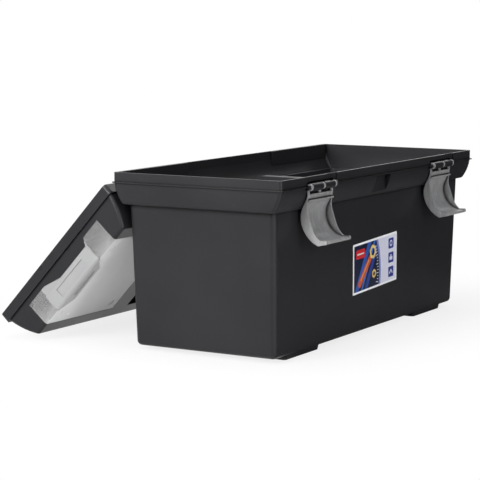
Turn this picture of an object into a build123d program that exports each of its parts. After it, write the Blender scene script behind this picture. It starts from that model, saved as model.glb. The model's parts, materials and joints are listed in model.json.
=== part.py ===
"""Long plastic toolbox with a lift-out tray, two front latches and two organiser wells in its lid.

The lid hangs open behind the tub and both latches hang down. Millimetres, +Z up. X runs along the box, the
latches are at -Y and the lid hinge at +Y. The origin is the centre of the base, on the plane of the feet.
"""

import math
import os

from build123d import *

# Overall sizes
LENGTH = 610.0              # over the lid skirt and the tub's flange lip
DEPTH = 264.0               # the same, front to back
RIM_Z = 243.4               # top edge of the tub above the surface it stands on
WALL = 3.0                  # tub wall
LID_WALL = 2.5
EDGE_GAP = 0.3              # between the closed lid and the flange lip it lands on

# Tub: an upright band, a collar that bulges below it, and a drafted body under the collar
BAND_SET_BACK = 2.2         # band face behind the flange lip
BAND_HEIGHT = 12.8
LIP_THICK = 1.5
COLLAR_DROP = 43.3          # underside of the collar below the rim
COLLAR_TUCK_Y = 10.4        # how far the collar's foot draws in, front and back
COLLAR_TUCK_X = 1.1         # the same at the ends
COLLAR_BULGE = 1.8          # crown of the collar's front curve over its chord
COLLAR_END_BULGE = 0.3      # the same at the ends
COLLAR_HEEL = 3.0           # radius between collar and its underside
BODY_SHY_Y = 16.7           # body's top behind the band, front and back
BODY_SHY_X = 12.6           # the same at the ends
BODY_DRAFT_Y = 3.5          # further draw-in of the body at its base
BODY_DRAFT_X = 8.7
CORNER_R = 5.0
BODY_CORNER_R = 8.0
BASE_EDGE_R = 7.0
FOOT_HEIGHT = 6.0
FOOT_LENGTH = 96.0
FOOT_WIDTH = 36.0
FOOT_CENTRE_X = 199.0
FOOT_SHY_Y = 4.0            # foot's outer edge behind the body's base edge
GATE_PAD_R = 16.0           # round pad in the middle of the base
FOOT_TAPER = 12.0           # draft angle of the feet, degrees
FOOT_CORNER_R = 4.0

# Front collar details
NOTCH_X = -5.7              # middle of the wide notch in the front collar
NOTCH_WIDTH = 45.4
NOTCH_FACE_SHY = 9.0        # notch floor behind the band's face
FINGER_RECESS_X = 33.0      # shallow recess in the band, from the middle of its latch
FINGER_RECESS_WIDTH = 28.0
FINGER_RECESS_HEIGHT = 9.5
FINGER_RECESS_DEEP = 1.6

# Inside of the back wall, thickened beside the hinges
HINGE_PAD_START = 122.0
HINGE_PAD_DROP = 22.0
HINGE_PAD_PROUD = 3.0

# Latches
LATCH_X = 192.0             # half the distance between the middles of the two latches
LATCH_SHIFT = -4.0          # the pair's middle from the middle of the box
LATCH_WIDTH = 70.0
LATCH_FLANGE = 2.6
BAR_R = 3.0
BAR_OUT = 1.4               # bar axis in front of the band's face
BAR_DROP = 14.0             # bar axis below the rim
BAR_CLEARANCE = 0.06
BARREL_R = 5.4              # two thicker barrels on each bar, between the latch's hooks
BARREL_GAP = 0.5            # beside each hook
BARREL_WEB = 5.0            # height of the web from each barrel back to the pocket's wall
HOOK_WALL = 1.8
ARM_WIDTH = 4.2
FINGER_WIDTH = 5.4
POCKET_MARGIN = 3.0         # pocket beyond the latch on each side
POCKET_TOP_DROP = 6.5
POCKET_BOTTOM_DROP = 27.5
POCKET_SHY = 4.4            # pocket's back wall behind the band's face
POCKET_WALL = 2.2
EAR_THICK = 3.0
EAR_R = 3.9
TOOTH_DROP = 16.7           # hooking ridge below the bar, clear of the closed lid's skirt
TOOTH_HEIGHT = 2.2
TOOTH_REACH = 0.4
HOOK_MOUTH = 4.4            # snap opening of the hooks, narrower than the bar
FINGER_ROOT = 8.0
LATCH_BACK_R = 2.0
LATCH_LONG_EDGE = 60.0      # the two back edges are the only ones longer than this
# Side view of the hanging lever as (out, up) from its bar: front edge of the flanges, grip lip, back, floor
LATCH_FRONT = ((1.3, -3.0), (2.4, -16.0), (3.4, -28.0), (-0.6, -43.0), (-7.0, -59.5), (-15.6, -69.2))
LATCH_LIP = ((-25.0, -68.8), (-26.2, -71.2), (-25.6, -73.8))
LATCH_BACK = ((4.6, -3.0), (4.6, -14.0), (10.8, -27.0), (13.6, -41.0), (3.6, -65.2), (-12.4, -77.0))
LATCH_BOWL = ((2.0, -9.5), (2.2, -15.0), (7.8, -27.6), (10.6, -39.0), (7.0, -53.5), (-1.0, -63.6), (-16.0, -70.0))

# Lid
HINGE_OUT = 6.5             # hinge axis behind the flange lip
LID_OPEN = 227.3            # degrees that the lid turns between closed and hanging open
SKIRT_WALL = 1.6
SKIRT_HEIGHT = 14.5
LID_HEIGHT = 60.0           # closed lid, from skirt edge to top
LID_SHOULDER = 2.9          # ledge from the skirt in to the lid's body
LID_TOP_SHY = 24.5          # lid's top edge behind the skirt, front and back
LID_BULGE = 2.5             # crown of the lid's front and back curve over its chord
LID_END_SHY = 5.0           # lid's top edge behind the skirt at the ends
LID_EDGE_R = 5.0
LID_CORNER_R = 5.0
LATCH_GATE_HEIGHT = 7.0     # cut-out in the skirt around each latch bar
KNUCKLE_R = 4.5
PIN_R = 2.0
PIN_CLEARANCE = 0.05
HINGE_X = 200.0
KNUCKLE_PITCH = 26.0
TUB_KNUCKLE = 9.0
KNUCKLE_GAP = 0.5
HINGE_WEB_DROP = 13.0       # foot of the web under each tub knuckle, below the axis
KNUCKLE_WEB_SHY = 0.8       # top of that web below the axis

# Organiser wells in the lid and their covers
COVER_LENGTH = 168.0        # from the skirt's end line to the cover's hinge edge
COVER_FRONT = 86.0
COVER_REAR = 85.5
COVER_THICK = 2.2
COVER_GAP = 0.4
COVER_SEAT = 4.0            # ledge under the edge of the cover
WELL_END_X = 298.0          # inner face of the end wall of a well, from the middle
WELL_FLOOR_H = 22.0         # floor of the well above the skirt's edge
WELL_WALL = 2.0
FLAP_LOW_H = 23.0           # lower edge of the cover's end flap, beside the clip
FLAP_HIGH_H = 33.5          # and under the clip
FLAP_STEP_FRONT = -48.0
FLAP_STEP_REAR = 51.0
FLAP_STEP_RUN = 30.0        # length of the slanted step at the front of the clip
CLIP_PROUD = 2.0
CLIP_FRONT = -56.0
CLIP_REAR = 49.0
CLIP_ON_TOP = 21.0
CLIP_LOW_H = 35.0
CLIP_POCKET_DEEP = 1.4
CLIP_EDGE = 6.0             # rim of the clip around its pocket
STRIPE_HALF = 24.0          # half length of the shallow slot on top of the clip
STRIPE_SPAN = (6.0, 13.0)   # its two sides, behind the cover's end
STRIPE_DEEP = 1.2
DIMPLE_R = 5.0              # round dimples near the cover's corners
DIMPLE_DEEP = 0.8
DIMPLES = ((14.0, 66.0), (144.0, 70.0))     # from the cover's end, and off its middle
LID_RIB_X = 116.0           # stiffening ribs under the lid's top
LID_RIB_Y = 52.0
LID_RIB_DEEP = 12.0
STUB_R = 1.6
STUB_LENGTH = 3.0
STUB_CLEARANCE = 0.06
COVER_BARREL_R = 2.6
DIVIDER_THICK = 1.6
DIVIDER_HEIGHT = 28.0
DIVIDER_PITCH = 52.0
DIVIDER_GAP = 0.15
RIB = 2.0

# Carry handle, folded into the middle of the lid
RECESS_HALF = 97.0
RECESS_FRONT = 88.0
RECESS_REAR = 16.0
RECESS_DEEP = 34.0
HANDLE_SPAN = 186.0
HANDLE_REACH = 72.0         # from the pivot axis to the middle of the grip bar
HANDLE_LEG_WIDTH = 12.0
HANDLE_LEG_THICK = 8.0
HANDLE_BAR_R = 7.0
HANDLE_AXIS_DROP = 11.0     # pivot axis below the lid's top
HANDLE_EYE_R = 7.0          # round end of each leg
HANDLE_BOSS_R = 7.0
GRIP_R = 10.0
GRIP_LENGTH = 118.0
GRIP_EDGE_R = 2.0
HANDLE_PIN_R = 3.5
HANDLE_PIN_LENGTH = 17.0
HANDLE_PIN_CLEARANCE = 0.06
HANDLE_SIDE_GAP = 0.5

# Tray
TRAY_CLEARANCE = 0.8        # around the flange, on the collar's inner ledge
TRAY_SEAT_GAP = 0.3         # under the flange
TRAY_FLANGE_THICK = 2.4
TRAY_DEEP = 58.0
TRAY_WALL = 2.2
TRAY_BODY_GAP = 3.0         # between the tray's wall and the tub's wall
TRAY_TAPER = 5.0            # draw-in of the tray's walls at its floor
TRAY_EDGE_R = 5.0
TRAY_SPINE_DROP = 20.0      # top of the spine below the flange
TRAY_RIB_DEEP = 2.0
TRAY_HANDLE_BEND_R = 7.0
TRAY_SPINE_HALF = 9.0       # half width of the middle spine that holds the handle
TRAY_DIVIDER_THICK = 1.8
TRAY_DIVIDER_HEIGHT = 38.0
TRAY_DIVIDER_XS = (-200.0, -110.0, 110.0, 200.0)
TRAY_DIVIDER_GAP = 0.2
TRAY_HANDLE_LENGTH = 150.0
TRAY_HANDLE_RISE = 12.0     # over the tray's flange
TRAY_HANDLE_WIDTH = 15.0
TRAY_HANDLE_THICK = 8.0
TRAY_POST = 12.0
TRAY_PEG_DEEP = 7.0
TRAY_PEG_R = 3.0

# Label on the front
LABEL_LENGTH = 140.0
LABEL_HEIGHT = 72.0
LABEL_THICK = 0.4
LABEL_X = 6.0
LABEL_TURN = 2.3            # the label is stuck on a little askew
LABEL_DROP = 143.0          # label's middle below the rim

HALF_X = LENGTH / 2
HALF_Y = DEPTH / 2
BAND_X = HALF_X - BAND_SET_BACK
BAND_Y = HALF_Y - BAND_SET_BACK
FLANGE_Z = RIM_Z - BAND_HEIGHT
COLLAR_Z = RIM_Z - COLLAR_DROP
BODY_X = BAND_X - BODY_SHY_X
BODY_Y = BAND_Y - BODY_SHY_Y
BASE_X = BODY_X - BODY_DRAFT_X
BASE_Y = BODY_Y - BODY_DRAFT_Y
LEDGE_Z = COLLAR_Z + WALL
BAR_Y = -(BAND_Y + BAR_OUT)
BAR_Z = RIM_Z - BAR_DROP
POCKET_HALF = LATCH_WIDTH / 2 + POCKET_MARGIN
LID_EDGE_Z = FLANGE_Z + EDGE_GAP
LID_TOP_Z = LID_EDGE_Z + LID_HEIGHT
HINGE_Y = HALF_Y + HINGE_OUT
HINGE_Z = LID_EDGE_Z
COVER_INNER_X = HALF_X - COVER_LENGTH
COVER_AXIS_Z = LID_TOP_Z - COVER_BARREL_R
HANDLE_Z = LID_TOP_Z - HANDLE_AXIS_DROP
TRAY_SEAT_Z = LEDGE_Z + TRAY_SEAT_GAP
TRAY_TOP_Z = TRAY_SEAT_Z + TRAY_FLANGE_THICK
LABEL_LEAN = math.degrees(math.atan2(BODY_DRAFT_Y, COLLAR_Z - FOOT_HEIGHT))


def block(x, y, z):
    """Box between two limits on each axis, given as (low, high) pairs."""
    size = Box(x[1] - x[0], y[1] - y[0], z[1] - z[0])
    return Pos((x[0] + x[1]) / 2, (y[0] + y[1]) / 2, (z[0] + z[1]) / 2) * size


def along_x(edges, x0, x1):
    """Solid between x0 and x1 with a closed outline drawn in the YZ plane."""
    return Pos(x0, 0, 0) * extrude(Plane.YZ * make_face(edges), amount=x1 - x0)


def along_z(points, z0, z1):
    """Upright prism over a polygon in the XY plane."""
    return Pos(0, 0, z0) * extrude(make_face(Polyline(*points, close=True)), amount=z1 - z0)


def rod_x(radius, x0, x1, y, z):
    """Round bar along X."""
    return Pos((x0 + x1) / 2, y, z) * Rot(0, 90, 0) * Cylinder(radius, x1 - x0)


def rod_y(radius, x, y0, y1, z):
    """Round bar along Y."""
    return Pos(x, (y0 + y1) / 2, z) * Rot(90, 0, 0) * Cylinder(radius, y1 - y0)


def crowned(start, end, rise, share):
    """Point at a share of the way along an arc that stands out by rise from its chord.

    The chord runs inwards as it goes down, as (half size, height), and the arc bulges away from the middle.
    """
    dx = end[0] - start[0]
    dz = end[1] - start[1]
    run = math.hypot(dx, dz)
    proud = 4 * rise * share * (1 - share)
    return start[0] + dx * share - dz / run * proud, start[1] + dz * share + dx / run * proud


def slab(half_x, half_y, z, corner):
    """Rounded rectangle at a height, as one section of a lofted form."""
    return Pos(0, 0, z) * RectangleRounded(2 * half_x, 2 * half_y, corner)


def curved_band(top, foot, rise_x, rise_y, corner, steps=6):
    """Loft whose four sides bulge: from top to foot, each given as (half x, half y, height)."""
    sections = []
    for step in range(steps + 1):
        share = step / steps
        half_x = crowned((top[0], top[2]), (foot[0], foot[2]), rise_x, share)[0]
        half_y, z = crowned((top[1], top[2]), (foot[1], foot[2]), rise_y, share)
        sections.append(slab(half_x, half_y, z, corner))
    return loft(sections)


def tub_form(inset):
    """Solid form of the tub, drawn in by inset: the outside at 0, the inside at the wall."""
    corner = CORNER_R - inset / 2
    band_x = BAND_X - inset
    band_y = BAND_Y - inset
    band = extrude(slab(band_x, band_y, FLANGE_Z, corner), amount=BAND_HEIGHT + inset)
    foot_x = band_x - COLLAR_TUCK_X
    foot_y = band_y - COLLAR_TUCK_Y
    foot_z = COLLAR_Z + inset + COLLAR_HEEL
    collar = curved_band(
        (band_x, band_y, FLANGE_Z), (foot_x, foot_y, foot_z), COLLAR_END_BULGE, COLLAR_BULGE, corner
    )
    heel = curved_band(
        (foot_x, foot_y, foot_z),
        (foot_x - COLLAR_HEEL, foot_y - COLLAR_HEEL, COLLAR_Z + inset),
        COLLAR_HEEL * 0.2,
        COLLAR_HEEL * 0.2,
        corner,
        steps=2,
    )
    body_corner = BODY_CORNER_R - inset
    body = loft(
        [
            slab(BASE_X - inset, BASE_Y - inset, FOOT_HEIGHT + inset, body_corner),
            slab(BODY_X - inset, BODY_Y - inset, COLLAR_Z + inset, body_corner),
        ],
        ruled=True,
    )
    body = fillet(body.faces().sort_by(Axis.Z)[0].edges(), BASE_EDGE_R - inset)
    return band + collar + heel + body


def tub_foot(side, row):
    """Tapered foot pad under one corner of the base."""
    outer = BASE_Y - FOOT_SHY_Y
    centre_y = row * (outer - FOOT_WIDTH / 2)
    draw_in = 2 * FOOT_HEIGHT * math.tan(math.radians(FOOT_TAPER))
    foot = loft(
        [
            slab(FOOT_LENGTH / 2 - draw_in / 2, FOOT_WIDTH / 2 - draw_in / 2, 0, FOOT_CORNER_R),
            slab(FOOT_LENGTH / 2, FOOT_WIDTH / 2, FOOT_HEIGHT + WALL / 2, FOOT_CORNER_R),
        ],
        ruled=True,
    )
    return Pos(side * FOOT_CENTRE_X, centre_y, 0) * foot


def latch_x(side):
    """Middle of one latch: side is -1 for the left, 1 for the right."""
    return side * LATCH_X + LATCH_SHIFT


def latch_pocket(x):
    """Hollow in the front wall behind a latch bar, and the bulge inside that closes it."""
    z = (RIM_Z - POCKET_BOTTOM_DROP, RIM_Z - POCKET_TOP_DROP)
    back = -BAND_Y + POCKET_SHY
    hollow = block((x - POCKET_HALF, x + POCKET_HALF), (-DEPTH, back), z)
    bulge = block(
        (x - POCKET_HALF - POCKET_WALL, x + POCKET_HALF + POCKET_WALL),
        (-BAND_Y + WALL / 2, back + POCKET_WALL),
        (z[0] - POCKET_WALL, z[1] + POCKET_WALL),
    )
    return hollow, bulge


def latch_bar(x):
    """Bar that a latch snaps onto, between two rounded ears on the collar."""
    reach = POCKET_HALF + EAR_THICK
    bar = rod_x(BAR_R, x - reach, x + reach, BAR_Y, BAR_Z)
    for side in (-1, 1):
        inner = x + side * POCKET_HALF
        low, high = sorted((inner, inner + side * EAR_THICK))
        bar += rod_x(EAR_R, low, high, BAR_Y, BAR_Z)
        bar += block((low, high), (BAR_Y, -BAND_Y + WALL), (BAR_Z - EAR_R, BAR_Z + EAR_R))
        near = FINGER_WIDTH / 2 + BARREL_GAP
        far = LATCH_WIDTH / 2 - ARM_WIDTH - BARREL_GAP
        low, high = sorted((x + side * near, x + side * far))
        bar += rod_x(BARREL_R, low, high, BAR_Y, BAR_Z)
        web_z = (BAR_Z - BARREL_WEB / 2, BAR_Z + BARREL_WEB / 2)
        bar += block((low, high), (BAR_Y, -BAND_Y + POCKET_SHY + POCKET_WALL / 2), web_z)
    return bar


def tub_knuckle(x):
    """Hinge knuckle on the back of the collar, on a web that stays below the lid's skirt."""
    low, high = x - TUB_KNUCKLE / 2, x + TUB_KNUCKLE / 2
    root = BAND_Y - WALL / 2
    web = Polyline(
        (root, HINGE_Z - KNUCKLE_WEB_SHY),
        (HINGE_Y, HINGE_Z - KNUCKLE_WEB_SHY),
        (HINGE_Y, HINGE_Z - KNUCKLE_R),
        (root, HINGE_Z - HINGE_WEB_DROP),
        close=True,
    )
    return along_x(web, low, high) + rod_x(KNUCKLE_R, low, high, HINGE_Y, HINGE_Z)


def make_tub_shell():
    """Tub moulded in one piece: walls, flange lip, latch bars, hinge knuckles and feet."""
    tub = tub_form(0)
    tub += extrude(slab(HALF_X, HALF_Y, FLANGE_Z - LIP_THICK, CORNER_R), amount=LIP_THICK)
    for side in (-1, 1):
        for row in (-1, 1):
            tub += tub_foot(side, row)
    tub += Pos(0, 0, (FOOT_HEIGHT + WALL / 2) / 2) * Cylinder(GATE_PAD_R, FOOT_HEIGHT + WALL / 2)
    tub -= tub_form(WALL)
    mid_wall = tub_form(WALL / 2)
    for side in (-1, 1):
        pad_x = sorted((side * HINGE_PAD_START, side * (BAND_X - WALL / 2)))
        pad_y = (BAND_Y - WALL - HINGE_PAD_PROUD, BAND_Y - WALL / 2)
        pad = block(pad_x, pad_y, (RIM_Z - HINGE_PAD_DROP, RIM_Z))
        tub += pad & mid_wall
        hollow, bulge = latch_pocket(latch_x(side))
        tub += bulge & mid_wall
        tub -= hollow
        tub += latch_bar(latch_x(side))
        for step in (-1, 0, 1):
            tub += tub_knuckle(side * HINGE_X + step * KNUCKLE_PITCH)
        recess_x = latch_x(side) + FINGER_RECESS_X
        tub -= block(
            (recess_x - FINGER_RECESS_WIDTH / 2, recess_x + FINGER_RECESS_WIDTH / 2),
            (-DEPTH, -BAND_Y + FINGER_RECESS_DEEP),
            (RIM_Z - FINGER_RECESS_HEIGHT, RIM_Z + WALL),
        )
    notch_x = (NOTCH_X - NOTCH_WIDTH / 2, NOTCH_X + NOTCH_WIDTH / 2)
    notch_floor = -BAND_Y + NOTCH_FACE_SHY
    notch_z = (COLLAR_Z, FLANGE_Z - LIP_THICK)
    backing_x = (notch_x[0] - WALL, notch_x[1] + WALL)
    backing = block(backing_x, (-BAND_Y + WALL / 2, notch_floor + WALL), (notch_z[0], notch_z[1] + WALL))
    tub += backing & mid_wall
    tub -= block(notch_x, (-DEPTH, notch_floor), notch_z)
    tub -= rod_x(PIN_R, -HALF_X, HALF_X, HINGE_Y, HINGE_Z)
    return tub


def make_hinge_pin(side):
    """Steel hinge pin through one set of knuckles."""
    half = KNUCKLE_PITCH + TUB_KNUCKLE / 2
    return rod_x(PIN_R, side * HINGE_X - half, side * HINGE_X + half, HINGE_Y, HINGE_Z)


def make_front_label():
    """Paper label on the sloping front of the body."""
    drop = LABEL_DROP - COLLAR_DROP
    wall_y = -(BODY_Y - drop * math.tan(math.radians(LABEL_LEAN)))
    label = Box(LABEL_LENGTH, LABEL_THICK, LABEL_HEIGHT, align=(Align.CENTER, Align.MAX, Align.CENTER))
    return Pos(LABEL_X, wall_y, RIM_Z - LABEL_DROP) * Rot(LABEL_LEAN, 0, 0) * Rot(0, -LABEL_TURN, 0) * label


def make_latch(x):
    """Arched latch lever, hanging from its bar: a floor between side flanges, snap hooks and a grip lip."""
    low, high = x - LATCH_WIDTH / 2, x + LATCH_WIDTH / 2
    place = Pos(0, BAR_Y, BAR_Z)
    outline = [
        Spline(*LATCH_FRONT),
        Polyline(LATCH_FRONT[-1], *LATCH_LIP, LATCH_BACK[-1]),
        Spline(*LATCH_BACK),
        Line(LATCH_BACK[0], LATCH_FRONT[0]),
    ]
    lever = place * along_x(outline, low, high)
    back_edges = [edge for edge in lever.edges() if edge.length > LATCH_LONG_EDGE and edge.center().Y > BAR_Y + 4]
    lever = fillet(back_edges, LATCH_BACK_R)
    bowl = [
        Spline(*LATCH_BOWL),
        Polyline(LATCH_BOWL[-1], (-DEPTH, LATCH_BOWL[-1][1]), (-DEPTH, LATCH_BOWL[0][1]), LATCH_BOWL[0]),
    ]
    lever -= place * along_x(bowl, low + LATCH_FLANGE, high - LATCH_FLANGE)
    crest_z = BAR_Z + LATCH_BOWL[0][1]
    lever -= block((low + ARM_WIDTH, high - ARM_WIDTH), (-DEPTH, 0), (crest_z, RIM_Z))
    hook_r = BAR_R + BAR_CLEARANCE + HOOK_WALL
    finger_low, finger_high = x - FINGER_WIDTH / 2, x + FINGER_WIDTH / 2
    neck_z = (crest_z - FINGER_ROOT, BAR_Z - BAR_R)
    lever += block((finger_low, finger_high), (BAR_Y + LATCH_FRONT[1][0], BAR_Y + LATCH_BACK[0][0]), neck_z)
    for span in ((low, low + ARM_WIDTH), (finger_low, finger_high), (high - ARM_WIDTH, high)):
        lever += rod_x(hook_r, *span, BAR_Y, BAR_Z)
    lever -= rod_x(BAR_R + BAR_CLEARANCE, low - 1, high + 1, BAR_Y, BAR_Z)
    mouth = (BAR_Z - HOOK_MOUTH / 2, BAR_Z + HOOK_MOUTH / 2)
    lever -= block((low - 1, high + 1), (BAR_Y, BAR_Y + 2 * hook_r), mouth)
    ridge_z = (BAR_Z - TOOTH_DROP - TOOTH_HEIGHT, BAR_Z - TOOTH_DROP)
    ridge_y = (BAR_Y - TOOTH_REACH, BAR_Y + LATCH_BACK[1][0])
    return lever + block((low + LATCH_FLANGE / 2, high - LATCH_FLANGE / 2), ridge_y, ridge_z)


def lid_form(inset):
    """Solid form of the closed lid above its shoulder, drawn in by inset."""
    top = (HALF_X - LID_END_SHY - inset, HALF_Y - LID_TOP_SHY - inset, LID_TOP_Z - inset)
    foot = (HALF_X - LID_SHOULDER - inset, HALF_Y - LID_SHOULDER - inset, LID_EDGE_Z + SKIRT_HEIGHT)
    form = curved_band(top, foot, 0, LID_BULGE, LID_CORNER_R)
    return fillet(form.faces().sort_by(Axis.Z)[-1].edges(), LID_EDGE_R - max(inset, 0))


def lid_knuckle(x):
    """Lid's hinge knuckle with a short web to the back of its skirt."""
    half = (KNUCKLE_PITCH - TUB_KNUCKLE) / 2 - KNUCKLE_GAP
    knuckle = rod_x(KNUCKLE_R, x - half, x + half, HINGE_Y, HINGE_Z)
    web = block((x - half, x + half), (HALF_Y - SKIRT_WALL, HINGE_Y), (HINGE_Z, HINGE_Z + KNUCKLE_R))
    knuckle += web
    return knuckle - rod_x(PIN_R + PIN_CLEARANCE, x - KNUCKLE_PITCH, x + KNUCKLE_PITCH, HINGE_Y, HINGE_Z)


def end_span(side, inner, outer):
    """Limits on X at one end of the box, from distances off the middle."""
    return sorted((side * inner, side * outer))


def flap_window(side, gap):
    """Space above the end wall of a well, which the cover's flap fills; gap widens it."""
    low = LID_EDGE_Z + FLAP_LOW_H - gap
    high = LID_EDGE_Z + FLAP_HIGH_H - gap
    front = -COVER_FRONT - gap
    rear = COVER_REAR + gap
    outline = Polyline(
        (front, low),
        (FLAP_STEP_FRONT, low),
        (FLAP_STEP_FRONT + FLAP_STEP_RUN, high),
        (FLAP_STEP_REAR - FLAP_STEP_RUN / 5, high),
        (FLAP_STEP_REAR, low),
        (rear, low),
        (rear, LID_TOP_Z + DEPTH),
        (front, LID_TOP_Z + DEPTH),
        close=True,
    )
    return along_x(outline, *end_span(side, WELL_END_X - gap, LENGTH))


def make_lid_shell():
    """Closed lid in one piece: skirt, crowned body, two wells, handle recess and hinge knuckles."""
    lid = extrude(slab(HALF_X, HALF_Y, LID_EDGE_Z, CORNER_R), amount=SKIRT_HEIGHT) + lid_form(0)
    inner_x = HALF_X - LID_SHOULDER - LID_WALL
    inner_y = HALF_Y - LID_SHOULDER - LID_WALL
    shelf_z = LID_EDGE_Z + SKIRT_HEIGHT - SKIRT_WALL
    hollow = lid_form(LID_WALL) + extrude(slab(inner_x, inner_y, shelf_z, CORNER_R - SKIRT_WALL), amount=SKIRT_WALL)
    lid -= hollow
    skirt_x, skirt_y = HALF_X - SKIRT_WALL, HALF_Y - SKIRT_WALL
    lid -= extrude(slab(skirt_x, skirt_y, LID_EDGE_Z - 1, CORNER_R - SKIRT_WALL), amount=SKIRT_HEIGHT - SKIRT_WALL + 1)
    body = lid_form(0)
    above = LID_TOP_Z + LID_HEIGHT
    floor_z = LID_EDGE_Z + WELL_FLOOR_H
    plate_z = LID_TOP_Z - COVER_THICK - COVER_GAP
    cover_y = (-COVER_FRONT - COVER_GAP, COVER_REAR + COVER_GAP)
    well_y = (cover_y[0] + COVER_SEAT, cover_y[1] - COVER_SEAT)
    for side in (-1, 1):
        walls_x = end_span(side, COVER_INNER_X - WELL_WALL, HALF_X)
        walls_y = (cover_y[0] - WELL_WALL, cover_y[1] + WELL_WALL)
        lid += block(walls_x, walls_y, (floor_z - WELL_WALL, LID_TOP_Z)) & body
        boss_x = end_span(side, COVER_INNER_X - WELL_WALL, COVER_INNER_X + 3 * COVER_BARREL_R)
        boss_y = (cover_y[0] - STUB_LENGTH - WELL_WALL, cover_y[1] + STUB_LENGTH + WELL_WALL)
        boss_z = (LID_TOP_Z - 4 * COVER_BARREL_R, LID_TOP_Z)
        lid += block(boss_x, boss_y, boss_z) & body
    rib_z = (LID_TOP_Z - LID_WALL - LID_RIB_DEEP, LID_TOP_Z - LID_WALL / 2)
    ribs = block((-LID_RIB_X - RIB, LID_RIB_X + RIB), (LID_RIB_Y - RIB / 2, LID_RIB_Y + RIB / 2), rib_z)
    for side in (-1, 1):
        ribs += block(end_span(side, LID_RIB_X, LID_RIB_X + RIB), (-HALF_Y, HALF_Y), rib_z)
    lid += ribs & lid_form(LID_WALL / 2)
    recess_x = (-RECESS_HALF, RECESS_HALF)
    recess_y = (-RECESS_FRONT, RECESS_REAR)
    recess_z = LID_TOP_Z - RECESS_DEEP
    lid += block(
        (recess_x[0] - WELL_WALL, recess_x[1] + WELL_WALL),
        (recess_y[0] - WELL_WALL, recess_y[1] + WELL_WALL),
        (recess_z - WELL_WALL, LID_TOP_Z - LID_WALL / 2),
    )
    lid -= block(recess_x, recess_y, (recess_z, above))
    for side in (-1, 1):
        well_x = end_span(side, COVER_INNER_X + 3 * COVER_BARREL_R, WELL_END_X)
        lid -= block(well_x, well_y, (floor_z, above))
        lid -= block(end_span(side, COVER_INNER_X, LENGTH), cover_y, (plate_z, above))
        groove_z = (COVER_AXIS_Z - COVER_BARREL_R - COVER_GAP, above)
        groove_x = end_span(side, COVER_INNER_X, COVER_INNER_X + 3 * COVER_BARREL_R + COVER_GAP)
        lid -= block(groove_x, cover_y, groove_z)
        lid -= flap_window(side, COVER_GAP)
        corner_z = LID_TOP_Z - LID_EDGE_R - COVER_GAP
        lid -= block(end_span(side, WELL_END_X - LID_EDGE_R, LENGTH), cover_y, (corner_z, above))
        axis_x = side * cover_axis_x()
        bore_y = (cover_y[0] - STUB_LENGTH, cover_y[1] + STUB_LENGTH)
        lid -= rod_y(STUB_R + STUB_CLEARANCE, axis_x, *bore_y, COVER_AXIS_Z)
        for divider_x in divider_places():
            for wall_y, inward in ((well_y[0], 1), (well_y[1], -1)):
                for face in (-1, 1):
                    rib_x = side * divider_x + face * (DIVIDER_THICK / 2 + DIVIDER_GAP + RIB / 2)
                    rib_y = sorted((wall_y, wall_y + inward * RIB))
                    lid += block((rib_x - RIB / 2, rib_x + RIB / 2), rib_y, (floor_z, floor_z + DIVIDER_HEIGHT))
        boss_low = HANDLE_SPAN / 2 + HANDLE_SIDE_GAP
        boss = end_span(side, boss_low, RECESS_HALF + WELL_WALL)
        lid += rod_x(HANDLE_BOSS_R, *boss, 0, HANDLE_Z)
        lid -= rod_x(HANDLE_PIN_R, *end_span(side, 0, handle_pin_end()), 0, HANDLE_Z)
        gate = LATCH_WIDTH / 2 + POCKET_MARGIN + EAR_THICK + 1
        gate_x = (latch_x(side) - gate, latch_x(side) + gate)
        lid -= block(gate_x, (-DEPTH, 0), (LID_EDGE_Z - 1, LID_EDGE_Z + LATCH_GATE_HEIGHT))
        for step in (-0.5, 0.5):
            lid += lid_knuckle(side * HINGE_X + step * KNUCKLE_PITCH)
    return lid


def cover_axis_x():
    """Distance of a cover's hinge axis from the middle of the lid."""
    return COVER_INNER_X + COVER_GAP + COVER_BARREL_R


def divider_places():
    """Distances of the well dividers from the middle of the lid."""
    first = COVER_INNER_X + 3 * COVER_BARREL_R + DIVIDER_PITCH
    return [first, first + DIVIDER_PITCH]


def handle_pin_end():
    """Outer end of a handle pin, from the middle of the lid."""
    return HANDLE_SPAN / 2 - HANDLE_LEG_WIDTH + HANDLE_PIN_LENGTH


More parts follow.
